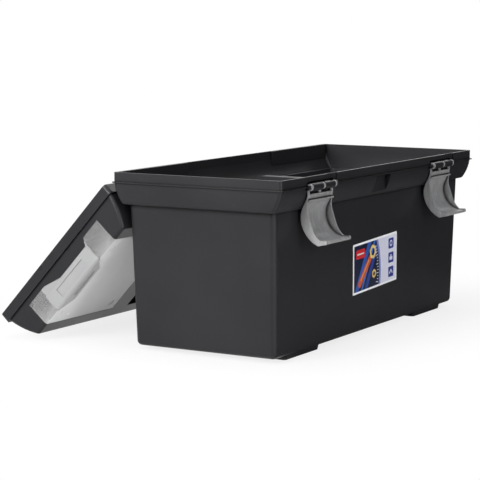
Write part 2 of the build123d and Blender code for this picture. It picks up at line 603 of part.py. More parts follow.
def make_organiser_cover(side):
    """Clear cover over one well: a flat top that turns down over the end, with a snap clip and hinge stubs."""
    inner_x = COVER_INNER_X + COVER_GAP
    sheet = lid_form(0) - lid_form(COVER_THICK)
    reach = block(end_span(side, inner_x, LENGTH), (-COVER_FRONT, COVER_REAR), (LID_EDGE_Z, LID_TOP_Z + 1))
    above_top = block(end_span(side, inner_x, WELL_END_X), (-DEPTH, DEPTH), (LID_TOP_Z - 2 * COVER_THICK, LID_TOP_Z + 1))
    cover = sheet & reach & (above_top + flap_window(side, 0))
    end = HALF_X
    pad_plan = [
        (side * (end + 2 * CLIP_PROUD), CLIP_FRONT),
        (side * (end - LID_END_SHY), CLIP_FRONT),
        (side * (end - LID_END_SHY - CLIP_ON_TOP), CLIP_FRONT + CLIP_ON_TOP),
        (side * (end - LID_END_SHY - CLIP_ON_TOP), CLIP_REAR - CLIP_ON_TOP),
        (side * (end - LID_END_SHY), CLIP_REAR),
        (side * (end + 2 * CLIP_PROUD), CLIP_REAR),
    ]
    pad = lid_form(-CLIP_PROUD) - lid_form(COVER_THICK / 2)
    pad &= along_z(pad_plan, LID_EDGE_Z + CLIP_LOW_H, LID_TOP_Z + LID_HEIGHT)
    cover += pad
    pocket = block(
        end_span(side, WELL_END_X, LENGTH),
        (CLIP_FRONT + CLIP_ON_TOP, CLIP_REAR - CLIP_ON_TOP),
        (LID_EDGE_Z + CLIP_LOW_H + CLIP_EDGE, LID_TOP_Z - CLIP_EDGE),
    )
    cover -= pocket - lid_form(CLIP_POCKET_DEEP - CLIP_PROUD)
    end_x = HALF_X - LID_END_SHY
    stripe_x = end_span(side, end_x - STRIPE_SPAN[1], end_x - STRIPE_SPAN[0])
    stripe_z = (LID_TOP_Z + CLIP_PROUD - STRIPE_DEEP, LID_TOP_Z + LID_HEIGHT)
    cover -= block(stripe_x, (-STRIPE_HALF, STRIPE_HALF), stripe_z)
    for back, off in DIMPLES:
        for row in (-1, 1):
            dimple = Cylinder(DIMPLE_R, 2 * DIMPLE_DEEP)
            cover -= Pos(side * (end_x - back), row * off, LID_TOP_Z) * dimple
    axis_x = side * cover_axis_x()
    cover += rod_y(COVER_BARREL_R, axis_x, -COVER_FRONT, COVER_REAR, COVER_AXIS_Z)
    stub_y = (-COVER_FRONT - STUB_LENGTH, COVER_REAR + STUB_LENGTH)
    return cover + rod_y(STUB_R, axis_x, *stub_y, COVER_AXIS_Z)


def make_organiser_divider(side, x):
    """Removable plate across one well, between the ribs of its walls."""
    low = -COVER_FRONT - COVER_GAP + COVER_SEAT + DIVIDER_GAP
    high = COVER_REAR + COVER_GAP - COVER_SEAT - DIVIDER_GAP
    floor_z = LID_EDGE_Z + WELL_FLOOR_H
    span_x = (side * x - DIVIDER_THICK / 2, side * x + DIVIDER_THICK / 2)
    return block(span_x, (low, high), (floor_z, floor_z + DIVIDER_HEIGHT))


def make_carry_handle():
    """Folding carry handle, flat in its recess: a round bar between two legs that turn on pins."""
    outer = HANDLE_SPAN / 2
    inner = outer - HANDLE_LEG_WIDTH
    handle = rod_x(HANDLE_BAR_R, -inner, inner, -HANDLE_REACH, HANDLE_Z)
    for side in (-1, 1):
        leg_x = end_span(side, inner, outer)
        leg_z = (HANDLE_Z - HANDLE_LEG_THICK / 2, HANDLE_Z + HANDLE_LEG_THICK / 2)
        handle += block(leg_x, (-HANDLE_REACH, 0), leg_z)
        handle += rod_x(HANDLE_BAR_R, *leg_x, -HANDLE_REACH, HANDLE_Z)
        handle += rod_x(HANDLE_EYE_R, *leg_x, 0, HANDLE_Z)
    return handle - rod_x(HANDLE_PIN_R + HANDLE_PIN_CLEARANCE, -outer - 1, outer + 1, 0, HANDLE_Z)


def make_handle_grip():
    """Soft sleeve over the middle of the handle's bar, with a finger swell along it."""
    grip = rod_x(GRIP_R, -GRIP_LENGTH / 2, GRIP_LENGTH / 2, -HANDLE_REACH, HANDLE_Z)
    grip = fillet(grip.edges().filter_by(GeomType.CIRCLE), GRIP_EDGE_R)
    return grip - rod_x(HANDLE_BAR_R, -GRIP_LENGTH, GRIP_LENGTH, -HANDLE_REACH, HANDLE_Z)


def make_handle_pin(side):
    """Pin from the recess wall into one leg of the handle."""
    inner = HANDLE_SPAN / 2 - HANDLE_LEG_WIDTH
    return rod_x(HANDLE_PIN_R, *end_span(side, inner, handle_pin_end()), 0, HANDLE_Z)


def tray_form(inset):
    """Tapered bin of the tray below its flange, drawn in by inset."""
    top_x = BODY_X - WALL - TRAY_BODY_GAP - inset
    top_y = BODY_Y - WALL - TRAY_BODY_GAP - inset
    corner = BODY_CORNER_R - inset
    floor_z = TRAY_TOP_Z - TRAY_DEEP + inset
    bin_form = loft(
        [slab(top_x - TRAY_TAPER, top_y - TRAY_TAPER, floor_z, corner), slab(top_x, top_y, TRAY_TOP_Z, corner)],
        ruled=True,
    )
    return fillet(bin_form.faces().sort_by(Axis.Z)[0].edges(), TRAY_EDGE_R - inset)


def make_tray_body():
    """Lift-out tray: a tapered bin with a flange on the tub's inner ledge and a hollow spine in the middle."""
    flange_x = BAND_X - WALL - COLLAR_TUCK_X - COLLAR_HEEL - TRAY_CLEARANCE
    flange_y = BAND_Y - WALL - COLLAR_TUCK_Y - COLLAR_HEEL - TRAY_CLEARANCE
    tray = extrude(slab(flange_x, flange_y, TRAY_SEAT_Z, CORNER_R), amount=TRAY_FLANGE_THICK) + tray_form(0)
    tray -= tray_form(TRAY_WALL)
    tray -= extrude(
        slab(BODY_X - WALL - TRAY_BODY_GAP - TRAY_WALL, BODY_Y - WALL - TRAY_BODY_GAP - TRAY_WALL, TRAY_TOP_Z, CORNER_R),
        amount=TRAY_DEEP,
    )
    spine_top = TRAY_TOP_Z - TRAY_SPINE_DROP
    floor_z = TRAY_TOP_Z - TRAY_DEEP
    spine = block((-TRAY_SPINE_HALF, TRAY_SPINE_HALF), (-HALF_Y, HALF_Y), (floor_z, spine_top))
    tray += spine & tray_form(0)
    tray -= block(
        (-TRAY_SPINE_HALF + TRAY_WALL, TRAY_SPINE_HALF - TRAY_WALL),
        (-TRAY_HANDLE_LENGTH / 2 - TRAY_POST, TRAY_HANDLE_LENGTH / 2 + TRAY_POST),
        (floor_z - 1, spine_top - TRAY_PEG_DEEP - TRAY_WALL),
    )
    for side in (-1, 1):
        peg_z = spine_top - TRAY_PEG_DEEP / 2
        tray -= Pos(0, side * tray_post_y(), peg_z) * Cylinder(TRAY_PEG_R, TRAY_PEG_DEEP)
    floor_top = floor_z + TRAY_WALL
    for x in TRAY_DIVIDER_XS:
        for face in (-1, 1):
            rib_x = x + face * (TRAY_DIVIDER_THICK / 2 + TRAY_DIVIDER_GAP + RIB / 2)
            for row in (-1, 1):
                rib_y = sorted((row * tray_inner_y(TRAY_RIB_DEEP), row * (BODY_Y - WALL - TRAY_BODY_GAP)))
                rib = block((rib_x - RIB / 2, rib_x + RIB / 2), rib_y, (floor_top, floor_top + TRAY_DIVIDER_HEIGHT))
                tray += rib & tray_form(TRAY_WALL / 2)
    return tray


def tray_post_y():
    """Middle of each handle post, from the middle of the tray."""
    return TRAY_HANDLE_LENGTH / 2 - TRAY_POST / 2


def tray_inner_y(inset):
    """Half width inside the tray at its floor, less an inset."""
    return BODY_Y - WALL - TRAY_BODY_GAP - TRAY_TAPER - TRAY_WALL - inset


def make_tray_divider(x):
    """Removable plate across the tray, cut to the slope of its walls."""
    plate = block(
        (x - TRAY_DIVIDER_THICK / 2, x + TRAY_DIVIDER_THICK / 2),
        (-HALF_Y, HALF_Y),
        (TRAY_TOP_Z - TRAY_DEEP + TRAY_WALL, TRAY_TOP_Z - TRAY_DEEP + TRAY_WALL + TRAY_DIVIDER_HEIGHT),
    )
    return plate & tray_form(TRAY_WALL + TRAY_DIVIDER_GAP)


def make_tray_handle():
    """Arch over the tray's spine, pegged into it at both ends."""
    top_z = TRAY_TOP_Z + TRAY_HANDLE_RISE
    spine_top = TRAY_TOP_Z - TRAY_SPINE_DROP
    half = TRAY_HANDLE_LENGTH / 2
    arch = block(
        (-TRAY_HANDLE_WIDTH / 2, TRAY_HANDLE_WIDTH / 2), (-half, half), (spine_top, top_z)
    )
    arch = fillet(arch.edges().filter_by(Axis.X).sort_by(Axis.Z)[-2:], TRAY_HANDLE_BEND_R)
    arch -= block(
        (-TRAY_HANDLE_WIDTH, TRAY_HANDLE_WIDTH),
        (-half + TRAY_POST, half - TRAY_POST),
        (spine_top - 1, top_z - TRAY_HANDLE_THICK),
    )
    for side in (-1, 1):
        arch += Pos(0, side * tray_post_y(), spine_top - TRAY_PEG_DEEP / 2) * Cylinder(TRAY_PEG_R, TRAY_PEG_DEEP)
    return arch


def opened(piece):
    """Piece of the lid, turned about the hinge from the closed lid to the open rest."""
    return piece.rotate(Axis((0, HINGE_Y, HINGE_Z), (1, 0, 0)), -LID_OPEN)


def all_parts():
    """Every sub-part by name, as it stands with the lid hanging open."""
    parts = {
        "tub_shell": make_tub_shell(),
        "front_label": make_front_label(),
        "tray_body": make_tray_body(),
        "tray_handle": make_tray_handle(),
        "lid_shell": opened(make_lid_shell()),
        "carry_handle": opened(make_carry_handle()),
        "handle_grip": opened(make_handle_grip()),
    }
    for number, x in enumerate(TRAY_DIVIDER_XS, start=1):
        parts[f"tray_divider_{number}"] = make_tray_divider(x)
    for side, hand in ((-1, "left"), (1, "right")):
        parts[f"latch_{hand}"] = make_latch(latch_x(side))
        parts[f"hinge_pin_{hand}"] = make_hinge_pin(side)
        parts[f"organiser_cover_{hand}"] = opened(make_organiser_cover(side))
        parts[f"handle_pin_{hand}"] = opened(make_handle_pin(side))
        for place, x in zip(("inner", "outer"), divider_places()):
            parts[f"organiser_divider_{hand}_{place}"] = opened(make_organiser_divider(side, x))
    return parts


def main():
    os.makedirs("parts", exist_ok=True)
    for name, solid in all_parts().items():
        export_step(solid, f"parts/{name}.step")
        print(name, [round(v, 1) for v in solid.bounding_box().size], round(solid.volume))


if __name__ == "__main__":
    main()
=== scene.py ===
# %% [markdown]
# # A long plastic toolbox, standing open
#
# The engineering model gives every rigid piece: tub, lid, latches, covers, tray. This lesson dresses it. It
# places a camera, a floor and soft light, and then makes one finish for each kind of plastic, metal and
# film on the box.

# %% Load the fixed frame
import json
import math

import bpy
import numpy as np
from mathutils import Matrix, Vector


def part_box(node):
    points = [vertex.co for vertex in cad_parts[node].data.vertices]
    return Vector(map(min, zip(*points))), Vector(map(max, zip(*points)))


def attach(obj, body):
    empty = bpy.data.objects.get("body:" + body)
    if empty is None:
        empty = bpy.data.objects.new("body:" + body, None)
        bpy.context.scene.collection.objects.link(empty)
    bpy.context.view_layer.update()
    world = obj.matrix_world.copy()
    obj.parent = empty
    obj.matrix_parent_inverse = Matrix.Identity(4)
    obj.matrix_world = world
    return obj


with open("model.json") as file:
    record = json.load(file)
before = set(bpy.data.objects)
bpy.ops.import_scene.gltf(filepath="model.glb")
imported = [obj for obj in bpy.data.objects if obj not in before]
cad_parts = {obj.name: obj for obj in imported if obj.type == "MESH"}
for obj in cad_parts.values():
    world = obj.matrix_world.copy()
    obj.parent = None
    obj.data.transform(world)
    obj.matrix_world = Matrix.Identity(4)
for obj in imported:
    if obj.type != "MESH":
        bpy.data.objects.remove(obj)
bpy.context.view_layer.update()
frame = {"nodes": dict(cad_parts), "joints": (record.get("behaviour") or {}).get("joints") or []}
nodes = frame["nodes"]
print("pieces from the engineering model:", len(nodes))

# %% [markdown]
# ## Camera
#
# A long lens a little above the rim keeps upright edges upright. The view looks at the left front corner,
# so both the end and the latched front show, with the lid hanging behind. The look direction comes from a
# compass angle (yaw) and a tilt (pitch): $d = (\sin y \cos p, \cos y \cos p, \sin p)$.

# %% Place the camera
RIM_HEIGHT = 0.2434
YAW, PITCH = math.radians(59.49), math.radians(-7.26)
camera_data = bpy.data.cameras.new("camera")
camera_data.lens = 134.2
camera_data.sensor_width = 36.0
camera_data.clip_start = 0.05
camera_data.clip_end = 200.0
camera = bpy.data.objects.new("camera", camera_data)
bpy.context.scene.collection.objects.link(camera)
look = Vector((math.sin(YAW) * math.cos(PITCH), math.cos(YAW) * math.cos(PITCH), math.sin(PITCH)))
camera.location = (-2.2802, -1.2338, RIM_HEIGHT + 0.2133)
camera.rotation_mode = "QUATERNION"
camera.rotation_quaternion = look.to_track_quat("-Z", "Y")
bpy.context.scene.camera = camera
print("camera looks along", tuple(round(v, 3) for v in look))

# %% [markdown]
# ## Floor
#
# A box like this stands on a bench or in a white studio. A sweep of paper would look different from every
# side, so the floor here is one large flat square. It is a grid of points turned into quads, the same
# helper that carries the label's print further down.

# %% Floor piece
FLOOR_HALF = 60.0


def surface(name, grid):
    """Mesh from a grid of points of shape (rows, columns, 3): each cell becomes one quad."""
    rows, columns = grid.shape[:2]
    index = np.arange(rows * columns).reshape(rows, columns)
    quads = np.stack([index[:-1, :-1], index[:-1, 1:], index[1:, 1:], index[1:, :-1]], axis=-1).reshape(-1, 4)
    mesh = bpy.data.meshes.new(name)
    mesh.from_pydata(grid.reshape(-1, 3).tolist(), [], quads.tolist())
    mesh.update()
    piece = bpy.data.objects.new(name, mesh)
    bpy.context.scene.collection.objects.link(piece)
    return piece


def floor_grid(half):
    """Flat square: x and y run from -half to half, z is 0."""
    across = np.linspace(-half, half, 3)
    x, y = np.meshgrid(across, across)
    return np.stack([x, y, np.zeros_like(x)], axis=-1)


floor = surface("floor", floor_grid(FLOOR_HALF))
print("floor quads:", len(floor.data.polygons))

# %% [markdown]
# ## A short way to build a node tree
#
# Every finish below is a small graph of nodes. Written out in full, each node takes several lines, so a thin
# wrapper round the tree adds a node with its settings in one line, and feeds an input with either a socket
# or a plain value.

# %% Node tree helper


class Graph:
    """A node tree, emptied, with short ways to add nodes and link them."""

    def __init__(self, owner):
        owner.use_nodes = True
        self.tree = owner.node_tree
        self.tree.nodes.clear()

    def add(self, kind, **settings):
        """Adds a shader node: in_NAME sets the value of that input, any other word sets a property."""
        node = self.tree.nodes.new("ShaderNode" + kind)
        for key, value in settings.items():
            if key.startswith("in_"):
                node.inputs[key[3:].replace("_", " ")].default_value = value
            else:
                setattr(node, key, value)
        return node

    def feed(self, target, source):
        """Gives an input what it needs: a socket is linked to it, anything else becomes its value."""
        if isinstance(source, bpy.types.NodeSocket):
            self.tree.links.new(source, target)
        else:
            target.default_value = source


print("a graph can:", [step for step in vars(Graph) if not step.startswith("_")])

# %% [markdown]
# ## Arithmetic and rises
#
# Two steps come back in every finish. One works a number out from two others. The other turns a number into a
# level: low up to a start, high from an end on, and a smooth or an even rise between them.

# %% Number helpers


def arithmetic(graph, operation, first, second=0.0):
    """One arithmetic step on two values."""
    node = graph.add("Math", operation=operation)
    graph.feed(node.inputs[0], first)
    graph.feed(node.inputs[1], second)
    return node.outputs[0]


def rise(graph, value, start, end, low, high, kind="SMOOTHSTEP"):
    """Low while the value is below start, high above end, and a smooth or LINEAR rise in between."""
    node = graph.add("MapRange", interpolation_type=kind)
    limits = {"Value": value, "From Min": start, "From Max": end, "To Min": low, "To Max": high}
    for key, source in limits.items():
        graph.feed(node.inputs[key], source)
    return node.outputs[0]


print("number helpers:", arithmetic.__name__, rise.__name__)

# %% [markdown]
# ## A white studio with dark sides
#
# In a white studio everything dark still looks grey, because satin plastic mirrors the white. A real studio
# is only white where the camera looks: elsewhere stand dark flags and open room. So the floor and the world
# are plain white to the eye, but in reflections their white fades towards three dark sides. Each side is a
# direction; the dot product of a ray's way with it tells how near the ray points to it.

# %% Dark sides of the studio
# Direction, cosines where the white starts to fall and where it is least, and the least.
DARK_SIDES = (
    ((0.819, -0.574, 0.0), 0.50, 0.75, 0.04),
    ((-0.866, 0.500, 0.0), 0.30, 0.60, 0.50),
    ((-1.000, 0.000, 0.0), 0.85, 0.97, 0.04),
)


def studio_white(graph, way):
    """Strength of the white along a unit direction: 1, but in reflections less towards each dark side."""
    least = 1.0
    for side, start, end, low in DARK_SIDES:
        along = graph.add("VectorMath", operation="DOT_PRODUCT")
        graph.feed(along.inputs[0], way)
        graph.feed(along.inputs[1], side)
        least = arithmetic(graph, "MINIMUM", least, rise(graph, along.outputs["Value"], start, end, 1.0, low))
    reflected = graph.add("Mix", data_type="FLOAT")
    for index, source in ((0, graph.add("LightPath").outputs["Is Glossy Ray"]), (2, 1.0), (3, least)):
        graph.feed(reflected.inputs[index], source)
    return reflected.outputs[0]


def seen_directly(graph):
    """1 for rays from the camera, off a gloss or through a clear piece, and 0 for rays of light."""
    path = graph.add("LightPath")
    either = arithmetic(graph, "MAXIMUM", path.outputs["Is Camera Ray"], path.outputs["Is Glossy Ray"])
    return arithmetic(graph, "MAXIMUM", either, path.outputs["Is Transmission Ray"])


print("dark sides:", len(DARK_SIDES))

# %% [markdown]
# ## Floor finish
#
# The floor is a pale matt surface that catches the shadow, mixed with plain white. Near the box part of the
# matt floor shows, so the shadow stays; further out the white takes over, and floor and background meet
# with no edge.

# %% Floor finish
LEFT_FRONT_CORNER = (-0.29, -0.12, 0.0)
SHADOW_CENTRE, SHADOW_INNER, SHADOW_OUTER, SHADOW_WHITE = (0.0, -0.12, 0.0), 0.36, 0.66, 0.80
floor_look = bpy.data.materials.new("floor_pale")
graph = Graph(floor_look)
output = graph.add("OutputMaterial")
shade = graph.add("BsdfDiffuse", in_Color=(0.88, 0.88, 0.88, 1.0))
white = graph.add("Emission", in_Color=(1.0, 1.0, 1.0, 1.0))
place = graph.add("TexCoord").outputs["Object"]
from_corner = graph.add("VectorMath", operation="SUBTRACT")
graph.feed(from_corner.inputs[0], place)
graph.feed(from_corner.inputs[1], LEFT_FRONT_CORNER)
way = graph.add("VectorMath", operation="NORMALIZE")
graph.feed(way.inputs[0], from_corner.outputs[0])
graph.feed(white.inputs["Strength"], studio_white(graph, way.outputs[0]))
radius = graph.add("VectorMath", operation="DISTANCE")
graph.feed(radius.inputs[0], place)
graph.feed(radius.inputs[1], SHADOW_CENTRE)
share = rise(graph, radius.outputs["Value"], SHADOW_INNER, SHADOW_OUTER, SHADOW_WHITE, 1.0)
blend = graph.add("MixShader")
graph.feed(blend.inputs[0], arithmetic(graph, "MULTIPLY", seen_directly(graph), share))
graph.feed(blend.inputs[1], shade.outputs[0])
graph.feed(blend.inputs[2], white.outputs[0])
graph.feed(output.inputs["Surface"], blend.outputs[0])
floor.data.materials.append(floor_look)
print("floor is white beyond", SHADOW_OUTER, "m from the box's middle")

# %% [markdown]
# ## World
#
# The world fills the shadows a little with a cool soft light. Where it is seen itself, behind the box or in
# its gloss, it is the same white as the floor.

# %% World
SOFT_LIGHT, SOFT_STRENGTH = (0.94, 0.96, 1.0, 1.0), 0.42
world = bpy.data.worlds.new("studio")
bpy.context.scene.world = world
graph = Graph(world)
output = graph.add("OutputWorld")
soft = graph.add("Background", in_Color=SOFT_LIGHT, in_Strength=SOFT_STRENGTH)
backdrop = graph.add("Background", in_Color=(1.0, 1.0, 1.0, 1.0))
graph.feed(backdrop.inputs["Strength"], studio_white(graph, graph.add("TexCoord").outputs["Generated"]))
blend = graph.add("MixShader")
graph.feed(blend.inputs[0], seen_directly(graph))
graph.feed(blend.inputs[1], soft.outputs[0])
graph.feed(blend.inputs[2], backdrop.outputs[0])
graph.feed(output.inputs["Surface"], blend.outputs[0])
print("world lights the box at", SOFT_STRENGTH)

# %% [markdown]
# ## Light
#
# Dark plastic shows its form by the difference between its faces. A large soft panel at the left lights the
# end, a wide one overhead the top edges and the covers, and a weak narrow one in front draws a line down
# the corner and keeps the latches readable. A small one behind on the right picks out the rim.

# %% Soft panels
LIT_PLACE = (0.0, 0.05, 0.15)
# Name, place, width, height, watts.
PANELS = (
    ("key_left", (-2.6, 0.5, 1.2), 1.6, 1.4, 79.0),
    ("overhead", (-0.3, 0.4, 2.4), 2.2, 1.8, 24.0),
    ("front_strip", (-0.9, -2.3, 0.6), 0.2, 1.1, 13.5),
    ("rim_back", (2.4, 0.5, 1.5), 1.4, 0.6, 14.0),
)
for name, place, width, height, watts in PANELS:
    lamp = bpy.data.lights.new(name, "AREA")
    lamp.shape = "RECTANGLE"
    lamp.size = width
    lamp.size_y = height
    lamp.energy = watts
    holder = bpy.data.objects.new(name, lamp)
    bpy.context.scene.collection.objects.link(holder)
    holder.location = place
    holder.rotation_mode = "QUATERNION"
    holder.rotation_quaternion = (Vector(LIT_PLACE) - Vector(place)).to_track_quat("-Z", "Y")
    print(name, "at", place, "gives", watts, "W")
bpy.context.scene.view_settings.view_transform = "Standard"

# %% [markdown]
# ## Colour mixes and noise
#
# No surface has one colour all over. The finishes move between two close colours by a noise that is fixed to
# the piece, so the pattern stays in place when the piece moves.

# %% Colour helpers


def mix(graph, share, first, second, **settings):
    """Colour mix: the first colour at share 0, the second at share 1."""
    node = graph.add("Mix", data_type="RGBA", **settings)
    for index, source in ((0, share), (6, first), (7, second)):
        graph.feed(node.inputs[index], source)
    return node.outputs[2]


def noise(graph, place, scale, detail, **settings):
    """Value of a noise at a place."""
    node = graph.add("TexNoise", in_Scale=scale, in_Detail=detail, **settings)
    graph.feed(node.inputs["Vector"], place)
    return node.outputs["Fac"]


def opaque(colour):
    """Red, green and blue with full cover."""
    return (*colour, 1.0)


print("colour helpers:", mix.__name__, noise.__name__, opaque.__name__)

# %% [markdown]
# ## Moulded plastic
#
# The box is injection-moulded. Its tool is spark-eroded, so the skin has a fine even grain that spreads
# highlights. Years of bench use leave faint pale rubs. The corners and creases get painted shade: an
# occlusion node that looks only at the piece itself darkens the colour there, so that the shade stays the
# same when the lid moves. The grain is a small noise bump and the rubs are a stretched noise. A Bevel node
# rounds the sharp edges of the model for the light.

# %% Grained plastic
PAINTED_SHADE_REACH = 0.008  # painted shade darkens the colour in corners and creases over this distance


def grained_plastic(name, colour, rough, grain=0.0007, depth=0.00006, rub=0.25, edge=0.0008, specular=0.25,
                    rub_scale=(14.0, 60.0, 60.0), rub_from=0.62):
    """Satin plastic: colour and gloss drift over the part, rubs mark it, creases get painted shade, grain is
    a fine bump.
    """
    material = bpy.data.materials.new(name)
    graph = Graph(material)
    output = graph.add("OutputMaterial")
    skin = graph.add("BsdfPrincipled", in_Specular_IOR_Level=specular)
    place = graph.add("TexCoord").outputs["Object"]

    drift = noise(graph, place, scale=9.0, detail=3.0)
    dark = tuple(0.86 * c for c in colour)
    light = tuple(min(1.0, 1.16 * c) for c in colour)
    rubbed = tuple(min(1.0, 1.5 * c + 0.03) for c in colour)
    tone = mix(graph, drift, opaque(dark), opaque(light))
    stretch = graph.add("Mapping", in_Scale=rub_scale)
    graph.feed(stretch.inputs["Vector"], place)
    rubs = noise(graph, stretch.outputs[0], scale=3.0, detail=6.0, in_Roughness=0.65)
    worn = mix(graph, rise(graph, rubs, rub_from, rub_from + 0.2, 0.0, rub, "LINEAR"), tone, opaque(rubbed))
    # Painted shade: occlusion darkens the colour in the piece's own corners and creases.
    shade_probe = graph.add("AmbientOcclusion", samples=8, only_local=True, in_Distance=PAINTED_SHADE_REACH)
    painted_shade_factor = rise(graph, shade_probe.outputs["AO"], 0.45, 0.92, 0.05, 1.0)
    graph.feed(skin.inputs["Base Color"], mix(graph, 1.0, worn, painted_shade_factor, blend_type="MULTIPLY"))

    graph.feed(skin.inputs["Roughness"], rise(graph, drift, 0.3, 0.7, rough - 0.05, rough + 0.06, "LINEAR"))

    bump = graph.add("Bump", in_Strength=0.5, in_Distance=depth)
    soft_edge = graph.add("Bevel", samples=4, in_Radius=edge)
    graph.feed(bump.inputs["Height"], noise(graph, place, scale=1.0 / grain, detail=2.0))
    graph.feed(bump.inputs["Normal"], soft_edge.outputs[0])
    graph.feed(skin.inputs["Normal"], bump.outputs[0])
    graph.feed(output.inputs["Surface"], skin.outputs[0])
    return material


CHARCOAL = (0.019, 0.019, 0.021)
tub_plastic = grained_plastic("tub_plastic", CHARCOAL, 0.36)
lid_plastic = grained_plastic("lid_plastic", CHARCOAL, 0.30, edge=0.0014)
tray_plastic = grained_plastic("tray_plastic", (0.022, 0.022, 0.025), 0.45)
grip_rubber = grained_plastic("grip_rubber", (0.022, 0.022, 0.024), 0.62, grain=0.0012, depth=0.0001)
print("dark finishes:", tub_plastic.name, lid_plastic.name, tray_plastic.name, grip_rubber.name)

# %% [markdown]
# ## Streaked grey plastic
#
# The latches are made of a grey plastic with a pale filler, and the melt leaves streaks where it ran down
# the bowl from the hooks. The same recipe makes it, with rubs that are long up and down and cover more of
# the skin.

# %% Latch plastic
MID_GREY = (0.25, 0.25, 0.25)
latch_plastic = grained_plastic(
    "latch_plastic", MID_GREY, 0.32, rub=0.6, specular=0.5, rub_scale=(60.0, 60.0, 9.0), rub_from=0.46,
)
print("latch finish:", latch_plastic.name)

# %% [markdown]
# ## Which piece gets which plastic
#
# The engineering model names its pieces by what they are, so the start of a name picks the finish: latches
# are grey, the lid and its handle are a little glossier than the tub, and the tray with its dividers is
# duller.

# %% Plastic on the pieces
PLASTIC_BY_START = (
    ("latch", latch_plastic),
    ("lid", lid_plastic),
    ("carry_handle", lid_plastic),
    ("tray", tray_plastic),
    ("organiser_divider", tray_plastic),
    ("handle_grip", grip_rubber),
    ("tub_shell", tub_plastic),
)


def finish_node(name, material):
    """Gives a piece of the engineering model its finish."""
    piece = nodes[name]
    if not piece.data.materials:
        piece.data.materials.append(material)
    for slot in piece.material_slots:
        slot.material = material


for start, material in PLASTIC_BY_START:
    named = [name for name in nodes if name.startswith(start)]
    for name in named:
        finish_node(name, material)
    print(material.name, "on", len(named), "pieces named", start)

# %% [markdown]
# ## Where a cover lies on the closed lid
#
# The organiser covers have a snap clip over the lid's end, moulded twice as thick as the sheet. The lid
# lies open in the frame, so a clip is easier to describe on the closed lid. Turning a point $p$ by the
# hinge angle $\theta$ about the hinge $h$ gives its place there: $p_c = R_x(\theta)(p - h) + h$. A Mapping
# node does the same with a rotation and the shift $h - R_x(\theta) h$.

# %% Clip of a cover on the closed lid
CLIP_FRONT, CLIP_REAR, CLIP_ON_TOP, LID_END = -0.056, 0.049, 0.021, 0.3015
lid_hinge = next(joint for joint in frame["joints"] if joint["name"] == "lid_hinge")
turn = math.radians(lid_hinge["range_deg"][1]) * lid_hinge["axis"][0]
hinge = Vector(lid_hinge["pos_m"])
frosted = bpy.data.materials.new("cover_plastic")
graph = Graph(frosted)
place = graph.add("TexCoord").outputs["Object"]
closed = graph.add(
    "Mapping", in_Rotation=(turn, 0.0, 0.0), in_Location=hinge - Matrix.Rotation(turn, 3, "X") @ hinge,
)
graph.feed(closed.inputs["Vector"], place)
axes = graph.add("SeparateXYZ")
graph.feed(axes.inputs[0], closed.outputs[0])
# Chamfered outline: the clip's two sides draw in by as much as it reaches onto the top.
reach = arithmetic(graph, "SUBTRACT", LID_END, arithmetic(graph, "ABSOLUTE", axes.outputs["X"]))
behind_front = arithmetic(graph, "SUBTRACT", axes.outputs["Y"], CLIP_FRONT)
before_rear = arithmetic(graph, "SUBTRACT", CLIP_REAR, axes.outputs["Y"])
from_sides = arithmetic(graph, "SUBTRACT", arithmetic(graph, "MINIMUM", behind_front, before_rear), reach)
from_top = arithmetic(graph, "SUBTRACT", CLIP_ON_TOP, reach)
margin = arithmetic(graph, "MINIMUM", from_sides, from_top)
clip = rise(graph, margin, 0.0, 0.0012, 0.0, 1.0)
print("the lid closes by", round(math.degrees(turn), 1), "degrees about", tuple(round(v, 4) for v in hinge))

# %% [markdown]
# ## Frosted covers
#
# The covers are clear polypropylene, which is never as clear as glass: part of the light goes through, part
# scatters and comes out milky, so what is below shows only as dim shapes. The top is frosted, the flap over
# the lid's end is clearer, and the clip is duller. All of that is one Principled shader whose transmission
# and colour follow the place.

# %% Frosted plastic
FLAP_CLEAR, TOP_CLEAR, CLIP_CLEAR = 0.86, 0.20, 0.55
COVER_EDGE = 0.0008
output = graph.add("OutputMaterial")
skin = graph.add("BsdfPrincipled", in_IOR=1.49)
cloud = noise(graph, place, scale=14.0, detail=4.0)
milk = mix(graph, cloud, (0.78, 0.78, 0.775, 1.0), (0.90, 0.90, 0.895, 1.0))
graph.feed(skin.inputs["Base Color"], mix(graph, clip, milk, (0.60, 0.60, 0.60, 1.0)))
clear = graph.add("Mix", data_type="FLOAT")
sheet = rise(graph, reach, 0.0025, 0.0045, FLAP_CLEAR, TOP_CLEAR)
for index, source in ((0, clip), (2, sheet), (3, CLIP_CLEAR)):
    graph.feed(clear.inputs[index], source)
graph.feed(skin.inputs["Transmission Weight"], clear.outputs[0])
graph.feed(skin.inputs["Roughness"], rise(graph, cloud, 0.3, 0.7, 0.16, 0.28, "LINEAR"))
soft_edge = graph.add("Bevel", samples=4, in_Radius=COVER_EDGE)
graph.feed(skin.inputs["Normal"], soft_edge.outputs[0])
graph.feed(output.inputs["Surface"], skin.outputs[0])
for side in ("left", "right"):
    finish_node(f"organiser_cover_{side}", frosted)
print("frosted covers let through", TOP_CLEAR, "of the light on top and", FLAP_CLEAR, "at the end")

# %% [markdown]
# ## Steel pins
#
# The hinge and handle pins are cut from drawn wire, so fine lines run along them. A noise squeezed across
# the wire and long along it gives the lines, and the same noise changes how much they shine.

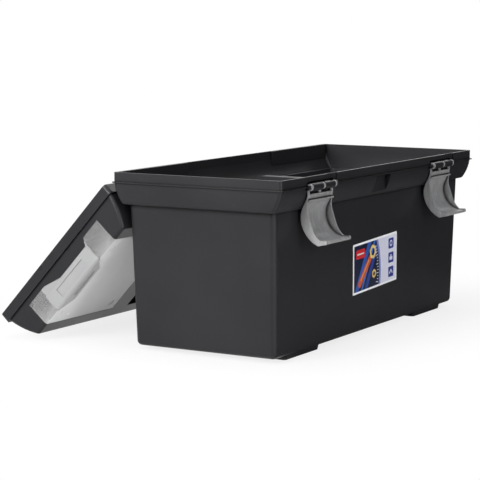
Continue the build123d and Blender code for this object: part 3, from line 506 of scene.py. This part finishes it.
# %% Drawn wire
ALONG_WIRE, ACROSS_WIRE = 20.0, 1500.0
wire = bpy.data.materials.new("pin_steel")
graph = Graph(wire)
output = graph.add("OutputMaterial")
skin = graph.add("BsdfPrincipled", in_Metallic=1.0)
stretch = graph.add("Mapping", in_Scale=(ALONG_WIRE, ACROSS_WIRE, ACROSS_WIRE))
graph.feed(stretch.inputs["Vector"], graph.add("TexCoord").outputs["Object"])
lines = noise(graph, stretch.outputs[0], scale=1.0, detail=3.0)
graph.feed(skin.inputs["Base Color"], mix(graph, lines, (0.44, 0.45, 0.47, 1.0), (0.62, 0.63, 0.65, 1.0)))
graph.feed(skin.inputs["Roughness"], rise(graph, lines, 0.3, 0.7, 0.24, 0.42, "LINEAR"))
graph.feed(output.inputs["Surface"], skin.outputs[0])
pins = [name for name in nodes if "pin" in name]
for name in pins:
    finish_node(name, wire)
print("steel pins:", pins)

# %% [markdown]
# ## Printed label: how shapes become ink
#
# A sales label is one printed film. The print here is a fine grid of small cells just in front of the film,
# and each point takes its ink from simple shapes. A point is inside a shape where its signed distance is
# negative, and joining or cutting shapes is a smallest or largest of distances. Distances are in
# millimetres.

# %% Shapes as signed distances


def inside(distance, soften=0.35):
    """Share of ink from a signed distance: 1 inside, 0 outside, with a soft edge."""
    return np.clip(0.5 - distance / soften, 0.0, 1.0)


def paint(colours, share, ink):
    """Lays an ink over the colours in proportion to its share."""
    return colours + share[..., None] * (np.array(ink) - colours)


def disc(u, v, centre, radius):
    """Distance to a disc: |p - centre| less the radius."""
    return np.hypot(u - centre[0], v - centre[1]) - radius


def rounded_box(u, v, centre, half, radius):
    """Distance to a rounded rectangle: how far |p - centre| stands out of the inner box, less the radius."""
    du = np.abs(u - centre[0]) - half[0] + radius
    dv = np.abs(v - centre[1]) - half[1] + radius
    return np.hypot(np.maximum(du, 0), np.maximum(dv, 0)) + np.minimum(np.maximum(du, dv), 0) - radius


def capsule(u, v, start, end, radius):
    """Distance to a thick line: to the nearest point of the segment from start to end, less the radius."""
    run = np.subtract(end, start)
    share = np.clip(((u - start[0]) * run[0] + (v - start[1]) * run[1]) / (run @ run), 0.0, 1.0)
    return np.hypot(u - start[0] - share * run[0], v - start[1] - share * run[1]) - radius


def hexagon(u, v, centre, reach, turn=0.0):
    """Distance to a hexagon: the largest of the distances to its three pairs of sides."""
    angles = turn + np.radians([0.0, 60.0, 120.0])
    sides = [np.abs((u - centre[0]) * np.cos(a) + (v - centre[1]) * np.sin(a)) for a in angles]
    return np.maximum.reduce(sides) - reach


print("a disc of 5 mm is", float(disc(3.0, 4.0, (0.0, 0.0), 5.0)), "mm away from a point on its edge")

# %% [markdown]
# ## Printed label: ground and bands
#
# The right side is a pale blue for the pictograms. A large dark disc, cut off by the film's left edge,
# makes the panel for the tools, with a blue rim round it and three slanted bands on it.

# %% Ground of the print
PANEL_CENTRE, PANEL_RADIUS, PANEL_RIM = (-26.0, 20.0), 106.0, 5.0
PALE, PALER = (0.70, 0.70, 0.84), (0.88, 0.88, 0.94)
RIM_BLUE, NIGHT_BLUE = (0.10, 0.17, 0.52), (0.008, 0.012, 0.045)
PALER_FROM, PALER_RUN = 70.0, 70.0
# Start at the lower edge, half width across, ink.
BANDS = (
    (8.0, 5.0, (0.03, 0.10, 0.42)),
    (24.0, 2.2, (0.05, 0.16, 0.55)),
    (37.0, 4.0, (0.02, 0.06, 0.30)),
)
BAND_LEAN, BAND_COSINE, BAND_INSET = 0.62, 0.85, 1.5


def ground(u, v):
    """Pale ground that lightens to the right, the dark panel with its rim, and the bands on it."""
    colours = np.ones(u.shape + (3,)) * np.array(PALE)
    colours = paint(colours, 0.5 * np.clip((u - PALER_FROM) / PALER_RUN, 0.0, 1.0), PALER)
    panel = disc(u, v, PANEL_CENTRE, PANEL_RADIUS)
    colours = paint(colours, 0.8 * inside(panel - PANEL_RIM), RIM_BLUE)
    colours = paint(colours, inside(panel), NIGHT_BLUE)
    for start, half_width, ink in BANDS:
        band = np.abs((u - v * BAND_LEAN - start) * BAND_COSINE) - half_width
        colours = paint(colours, inside(np.maximum(band, panel + BAND_INSET)), ink)
    return colours


print("bands on the dark panel:", len(BANDS))

# %% [markdown]
# ## Printed label: spanner, nut, plaque and ruler
#
# A label for a toolbox shows tools. Here they are a ring spanner with a red handle, a brass nut, a plain
# red plaque with a bar, and a ruler's ticks along the panel's edge. No words are drawn.

# %% Tools of the print
# Ends and half width of the spanner's grip and of the pale inlay in it.
GRIP_LINE = ((18.0, 10.0), (50.0, 42.0), 5.2)
INLAY_LINE = ((21.0, 15.0), (46.0, 40.0), 1.2)
RING_CENTRE, RING_REACH, RING_HOLE, RING_TURN = (59.0, 50.5), 9.5, 5.2, 0.26
NUT_CENTRE, NUT_REACH, NUT_HOLE = (63.0, 18.0), 6.0, 2.9
PLAQUE_CENTRE, PLAQUE_HALF, BAR_HALF = (20.0, 53.0), (14.0, 6.6), (10.5, 1.0)
GRIP_RED, INLAY_ORANGE = (0.62, 0.10, 0.03), (0.80, 0.34, 0.12)
PLAQUE_RED, BAR_PINK = (0.62, 0.02, 0.025), (0.85, 0.70, 0.70)
BRASS, DARK_BRASS, TICK_WHITE = (0.80, 0.60, 0.20), (0.74, 0.52, 0.16), (0.78, 0.80, 0.90)
TICKS, FIRST_TICK, TICK_STEP = 13, -9.0, 2.5
TICK_END, LONG_TICK, SHORT_TICK, TICK_RADIUS = 103.0, 6.0, 3.0, 0.5


def tools(colours, u, v):
    """Spanner, nut and plaque laid over the ground."""
    ring = hexagon(u, v, RING_CENTRE, RING_REACH, RING_TURN)
    ring = np.maximum(ring, -hexagon(u, v, RING_CENTRE, RING_HOLE, RING_TURN))
    layers = (
        (capsule(u, v, *GRIP_LINE), GRIP_RED),
        (capsule(u, v, *INLAY_LINE), INLAY_ORANGE),
        (ring, BRASS),
        (hexagon(u, v, NUT_CENTRE, NUT_REACH), DARK_BRASS),
        (disc(u, v, NUT_CENTRE, NUT_HOLE), NIGHT_BLUE),
        (rounded_box(u, v, PLAQUE_CENTRE, PLAQUE_HALF, 3.0), PLAQUE_RED),
        (rounded_box(u, v, PLAQUE_CENTRE, BAR_HALF, 1.0), BAR_PINK),
    )
    for distance, ink in layers:
        colours = paint(colours, inside(distance), ink)
    return colours


def ruler(colours, u, v):
    """Ticks at even angles along the panel's edge; every third one is long."""
    for step in range(TICKS):
        angle = math.radians(FIRST_TICK + TICK_STEP * step)
        ray = np.array((math.cos(angle), math.sin(angle)))
        length = LONG_TICK if step % 3 == 0 else SHORT_TICK
        start, end = PANEL_CENTRE + (TICK_END - length) * ray, PANEL_CENTRE + TICK_END * ray
        colours = paint(colours, inside(capsule(u, v, start, end, TICK_RADIUS)), TICK_WHITE)
    return colours


print("ruler ticks:", TICKS)

# %% [markdown]
# ## Printed label: pictograms
#
# Three small blue tiles stand in a column on the pale side, with a ring, a weight and a roof on them. They
# stand for nothing in particular: such a column is simply what a sales label has.

# %% Pictograms of the print
TILE_X, TILE_HEIGHTS, TILE_HALF = 118.0, (54.0, 33.0, 12.0), (8.5, 7.6)
TILE_BLUE, MARK_BLUE = (0.018, 0.035, 0.26), (0.72, 0.75, 0.88)


def pictograms(colours, u, v):
    """Three tiles, each with its own mark."""
    ring_y, weight_y, roof_y = TILE_HEIGHTS
    ring = np.maximum(disc(u, v, (TILE_X, ring_y), 4.6), -disc(u, v, (TILE_X, ring_y), 2.6))
    weight = np.minimum(
        rounded_box(u, v, (TILE_X, weight_y - 1.2), (5.0, 2.6), 0.8),
        rounded_box(u, v, (TILE_X, weight_y + 3.2), (2.2, 1.2), 0.6),
    )
    roof = np.minimum(
        capsule(u, v, (TILE_X - 4.4, roof_y - 2.0), (TILE_X, roof_y + 3.0), 1.1),
        capsule(u, v, (TILE_X, roof_y + 3.0), (TILE_X + 4.4, roof_y - 2.0), 1.1),
    )
    for height, mark in zip(TILE_HEIGHTS, (ring, weight, roof)):
        tile = rounded_box(u, v, (TILE_X, height), TILE_HALF, 2.0)
        colours = paint(colours, inside(tile), TILE_BLUE)
        colours = paint(colours, inside(mark), MARK_BLUE)
    return colours


print("pictograms:", len(TILE_HEIGHTS))

# %% [markdown]
# ## Printed label: its surface
#
# The film is part of the engineering model and leans with the tub's drafted front. Its largest face that
# looks forward gives the direction the print faces, and the turn of the film gives the direction its lines
# run.

# %% Surface of the print
PRINT_WIDE, PRINT_HIGH = 134.0, 66.0
LABEL_TURN = math.radians(2.3)
PRINT_AHEAD = 0.00025  # from the middle of the film: half its thickness and a hair
film_mesh = nodes["front_label"].data
face = max((p for p in film_mesh.polygons if p.normal.y < -0.9), key=lambda p: p.area)
out = face.normal.copy()


def label_grid(columns, rows):
    """Grid over the film, p = middle + u along + v up: u along its long side, v up its short side, in mm."""
    u, v = np.meshgrid(np.linspace(0, PRINT_WIDE, columns), np.linspace(0, PRINT_HIGH, rows))
    along = Vector((math.cos(LABEL_TURN), 0.0, math.sin(LABEL_TURN)))
    along = (along - along.dot(out) * out).normalized()
    up = out.cross(along)
    middle = np.array(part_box("front_label")).mean(axis=0) + np.array(out) * PRINT_AHEAD
    du, dv = (u - PRINT_WIDE / 2) / 1000, (v - PRINT_HIGH / 2) / 1000
    return u, v, middle + du[..., None] * np.array(along) + dv[..., None] * np.array(up)


u, v, grid = label_grid(341, 169)
label_print = surface("label_print", grid)
inks = pictograms(ruler(tools(ground(u, v), u, v), u, v), u, v)
store = label_print.data.color_attributes.new("ink", "FLOAT_COLOR", "POINT")
store.data.foreach_set("color", np.dstack([inks, np.ones(u.shape)]).astype(np.float32).ravel())
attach(label_print, "tub")
print("label cells:", len(label_print.data.polygons))

# %% [markdown]
# ## Label film
#
# The film is white paper with a clear coat. Its fibres are a very fine noise that moves the white a little
# and raises a faint bump.

# %% Film
film = bpy.data.materials.new("label_film")
graph = Graph(film)
output = graph.add("OutputMaterial")
skin = graph.add("BsdfPrincipled", in_Roughness=0.3)
fibre = noise(graph, graph.add("TexCoord").outputs["Object"], scale=900.0, detail=3.0)
graph.feed(skin.inputs["Base Color"], mix(graph, fibre, (0.90, 0.90, 0.92, 1.0), (0.95, 0.95, 0.96, 1.0)))
bump = graph.add("Bump", in_Strength=0.15, in_Distance=0.00003)
graph.feed(bump.inputs["Height"], fibre)
graph.feed(skin.inputs["Normal"], bump.outputs[0])
graph.feed(output.inputs["Surface"], skin.outputs[0])
finish_node("front_label", film)
print("film finish:", film.name)

# %% [markdown]
# ## Label ink
#
# The ink of each point is stored in the mesh as an attribute. The shader reads it and lets a trace of
# printing dots through, so that flat areas are not perfectly even.

# %% Ink
DOT_SHARE = 0.12
ink_look = bpy.data.materials.new("label_ink")
graph = Graph(ink_look)
output = graph.add("OutputMaterial")
skin = graph.add("BsdfPrincipled", in_Roughness=0.28)
ink = graph.add("Attribute", attribute_name="ink")
dots = graph.add("TexNoise", in_Scale=1200.0, in_Detail=2.0)
graph.feed(dots.inputs["Vector"], graph.add("TexCoord").outputs["Object"])
printed = mix(graph, DOT_SHARE, ink.outputs["Color"], dots.outputs["Color"], blend_type="MULTIPLY")
graph.feed(skin.inputs["Base Color"], printed)
graph.feed(output.inputs["Surface"], skin.outputs[0])
label_print.data.materials.append(ink_look)
print("ink finish:", ink_look.name)
